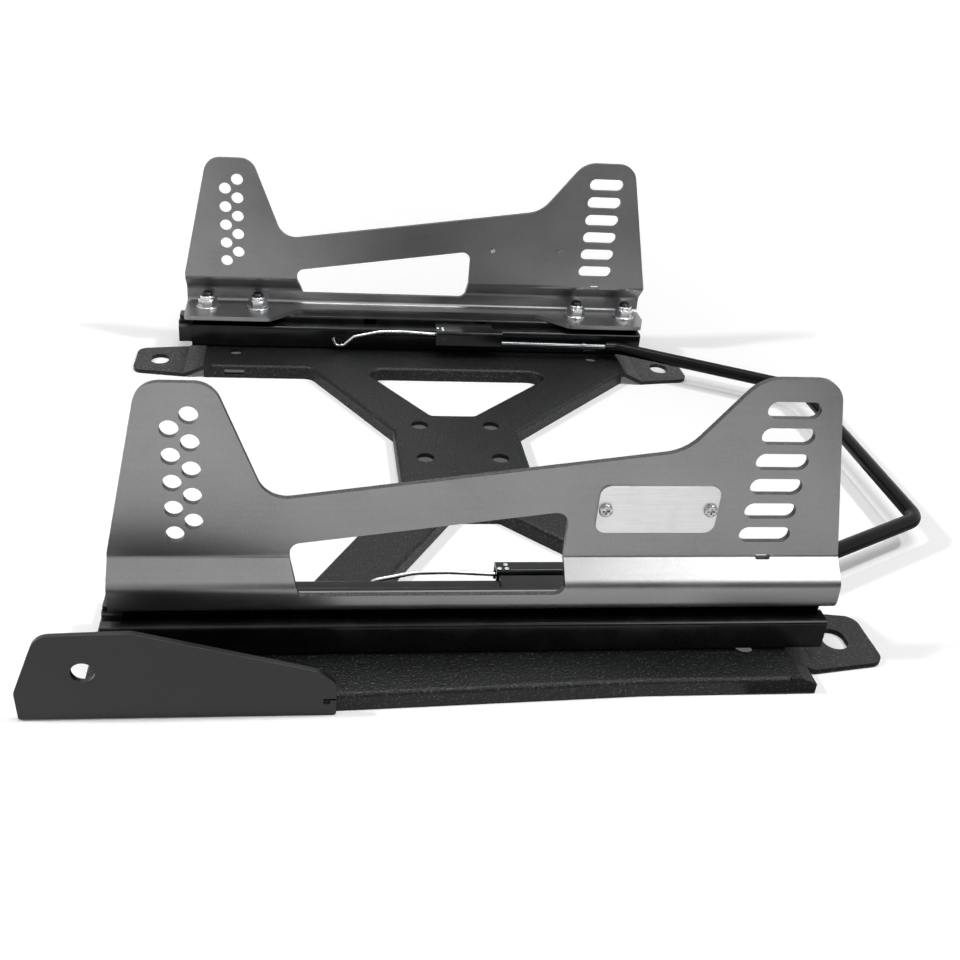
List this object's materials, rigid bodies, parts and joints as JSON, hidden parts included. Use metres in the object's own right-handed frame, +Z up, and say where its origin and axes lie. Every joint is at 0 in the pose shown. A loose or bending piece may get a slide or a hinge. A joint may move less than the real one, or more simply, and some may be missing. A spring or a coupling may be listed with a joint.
{
  "type": "adjustable seat mount",
  "caption": "Sliding seat mount: cross-shaped floor base, slider rails with a lift-up release bar and perforated side mounts for a bucket seat.",
  "frame": {"origin": "centre of the four-hole pattern, on the upper face of the base's centre plate", "axes": "+X along the rails towards the release bar, +Y across the rails away from the badge, +Z up"},
  "size_m": [0.5197, 0.4695, 0.1598],
  "materials": {
    "base_black": "fine-textured satin black powder coat",
    "rail_black": "gloss black electrophoretic coat",
    "mount_grey": "satin metallic grey coat",
    "zinc": "bright zinc-plated steel",
    "stud_steel": "dark oiled steel",
    "rod_steel": "bright drawn steel",
    "bar_black": "satin black powder coat",
    "badge_alu": "satin anodised, bare",
    "plug_black": "moulded black plastic",
    "spring_wire": "bright spring wire"
  },
  "bodies": {
    "base": {"base_frame": "base_black", "mounting_ear": "base_black", "lower_rail_near": "rail_black", "lower_rail_far": "rail_black", "rail_bolts": "zinc", "rail_nuts": "zinc"},
    "carriage": {"upper_rail_near": "rail_black", "upper_rail_far": "rail_black", "rollers_near": "rod_steel", "rollers_far": "rod_steel", "rear_plug_near": "plug_black", "rear_plug_far": "plug_black", "side_mount_near": "mount_grey", "side_mount_far": "mount_grey", "mount_studs": "stud_steel", "mount_nuts": "zinc", "badge_plate": "badge_alu", "badge_screws": "zinc", "far_screws": "zinc", "lever_bracket_near": "rail_black", "lever_bracket_far": "rail_black", "wire_spring_near": "spring_wire", "wire_spring_far": "spring_wire", "pivot_pins": "zinc"},
    "handle": {"lock_lever_near": "rail_black", "lock_lever_far": "rail_black", "lever_rivets": "zinc", "lever_rod_near": "rod_steel", "lever_rod_far": "rod_steel", "release_bar": "bar_black"}
  },
  "joints": [
    {"name": "seat_slide", "type": "slide", "parent": "base", "child": "carriage", "axis": [1, 0, 0], "range_m": [-0.09, 0.11]},
    {"name": "bar_lift", "type": "hinge", "parent": "carriage", "child": "handle", "pos_m": [0.0035, -0.018, 0.0154], "axis": [0, -1, 0], "range_deg": [0, 8], "stiffness_Nm_per_rad": 12, "springref_deg": -8.59}
  ]
}
